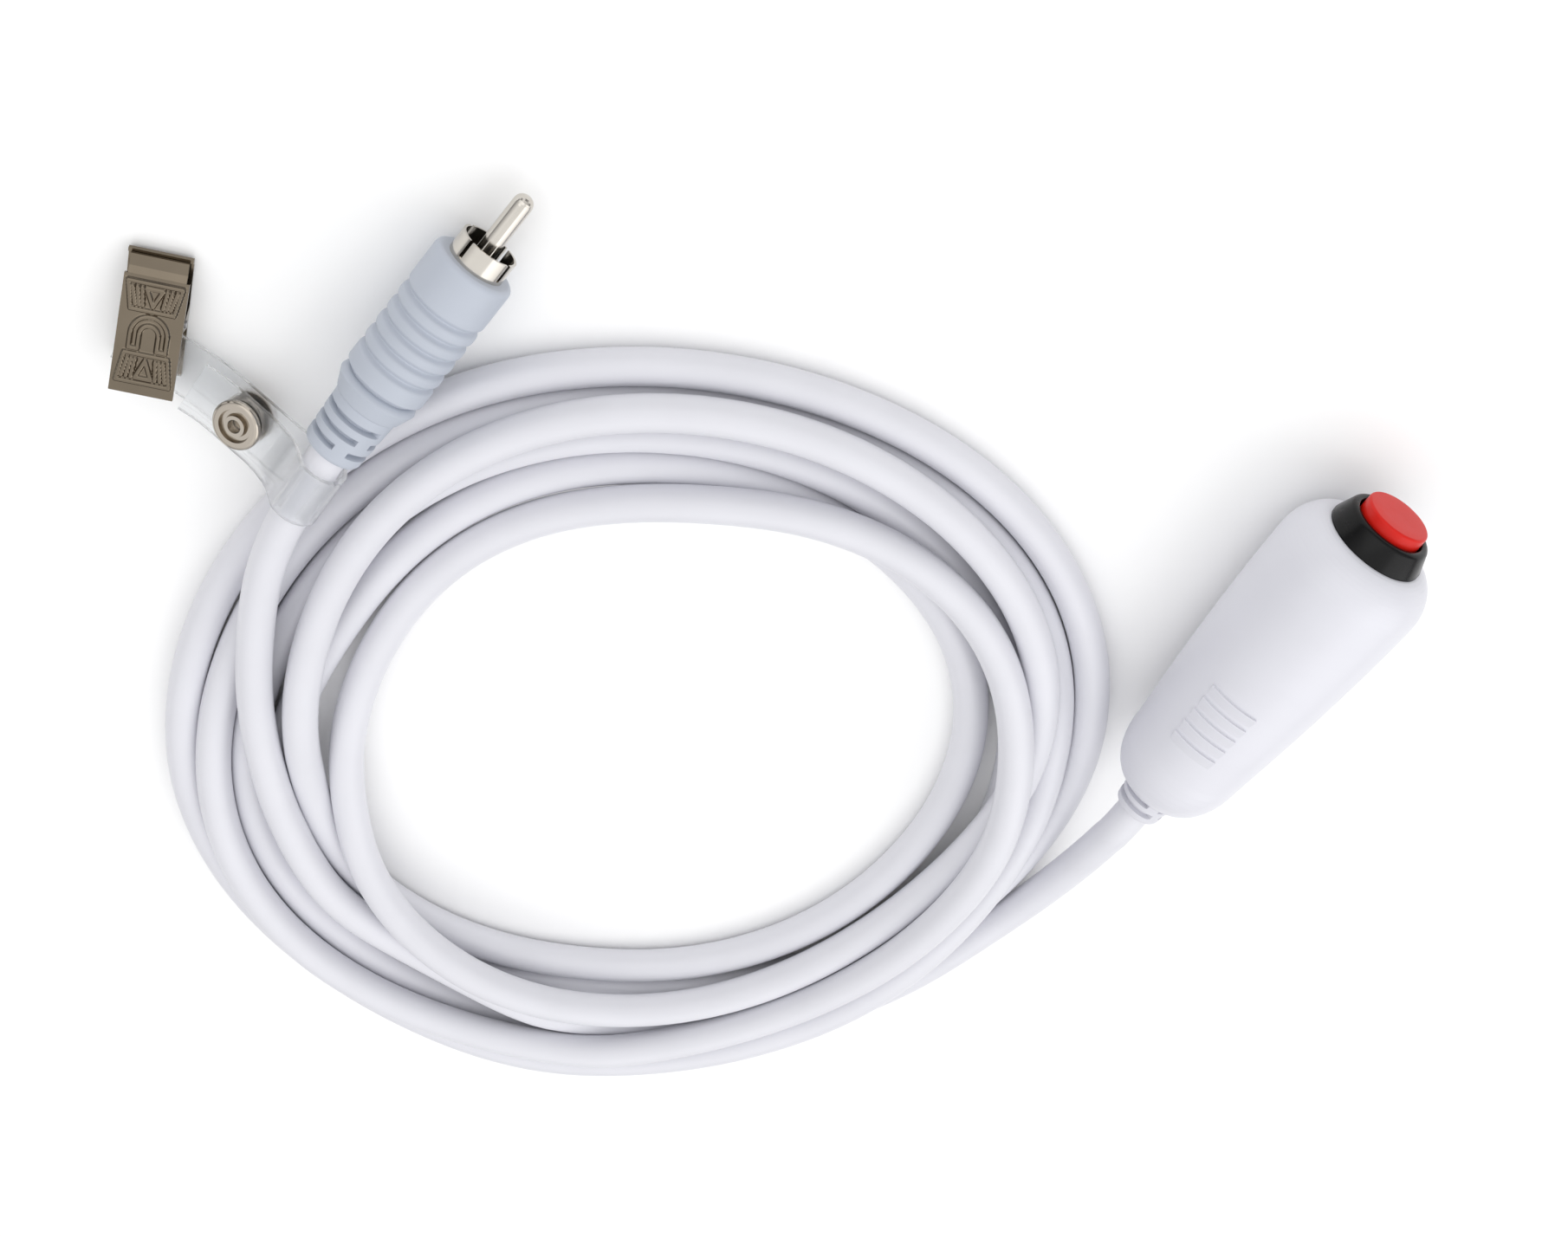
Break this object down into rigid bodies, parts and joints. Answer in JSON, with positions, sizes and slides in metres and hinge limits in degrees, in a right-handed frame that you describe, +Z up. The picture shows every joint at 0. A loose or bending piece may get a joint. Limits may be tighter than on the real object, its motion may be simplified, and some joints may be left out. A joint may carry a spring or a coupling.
{
  "type": "patient call cord",
  "caption": "Hand-held call button on a round cable coiled loosely, ending in a moulded phono plug, with a snap strap and spring clip for bed linen.",
  "frame": {"origin": "on the surface that the object lies on, under the middle of the handle (the handle, bezel, button and strain relief, without the cord)", "axes": "+X along the handle towards the button, +Z up, +Y to the side on which the coil lies"},
  "size_m": [0.192, 0.198, 0.026],
  "materials": {
    "housing_white": "satin",
    "bezel_black": "gloss",
    "button_red": "gloss",
    "nylon": "satin",
    "contact_brass": "bright",
    "spring_steel": "bright",
    "phenolic_brown": "matt",
    "sleeve_grey": "matt",
    "wire_red": "satin",
    "wire_black": "satin",
    "cable_white": "satin",
    "relief_white": "satin",
    "plug_grey_blue": "satin",
    "plug_nickel": "polished",
    "insulator": "matt",
    "clear_vinyl": "gloss",
    "snap_nickel": "polished",
    "clip_nickel": "polished"
  },
  "bodies": {
    "root": {"housing": "housing_white", "switch_bezel": "bezel_black", "switch_base": "phenolic_brown", "terminal_a": "contact_brass", "terminal_b": "contact_brass", "sleeve_a": "sleeve_grey", "sleeve_b": "sleeve_grey", "wire_a": "wire_red", "wire_b": "wire_black", "handle_cable_end": "cable_white", "cable_tie": "nylon", "strain_relief": "relief_white", "cable_lead": "cable_white", "cable_coil": "cable_white", "cable_tail": "cable_white", "plug_body": "plug_grey_blue", "plug_shell": "plug_nickel", "plug_insulator": "insulator", "plug_pin": "plug_nickel", "plug_cable_end": "cable_white", "signal_wire": "wire_red", "ground_wire": "wire_black"},
    "button": {"button_cap": "button_red", "plunger": "nylon", "contact_bridge": "contact_brass", "bridge_clip": "spring_steel", "return_spring": "spring_steel"},
    "strap": {"strap": "clear_vinyl", "snap_cap": "snap_nickel", "snap_socket": "snap_nickel", "snap_stud": "snap_nickel", "snap_post": "snap_nickel", "clip_rivet": "snap_nickel"},
    "clip": {"back_jaw": "clip_nickel", "jaw_pin": "clip_nickel", "jaw_spring": "spring_steel"},
    "jaw": {"front_jaw": "clip_nickel"}
  },
  "joints": [
    {"name": "button_press", "type": "slide", "parent": "root", "child": "button", "axis": [-1, 0, 0], "range_m": [0, 0.0022], "stiffness_N_per_m": 700, "springref_m": -0.0012, "deforming": ["return_spring"]},
    {"name": "strap_swing", "type": "hinge", "parent": "root", "child": "strap", "pos_m": [-0.0415, 0.1475, 0.0135], "axis": [0.9945, -0.1045, 0], "range_deg": [0, 90]},
    {"name": "clip_swivel", "type": "hinge", "parent": "strap", "child": "clip", "pos_m": [-0.03852, 0.17584, 0.001], "axis": [0, 0, 1], "range_deg": [-20, 90]},
    {"name": "jaw_open", "type": "hinge", "parent": "clip", "child": "jaw", "pos_m": [-0.03197, 0.17766, 0.0033], "axis": [0.2672, -0.9636, 0], "range_deg": [0, 15], "stiffness_Nm_per_rad": 0.1, "springref_deg": -34.38, "deforming": ["jaw_spring"]}
  ]
}
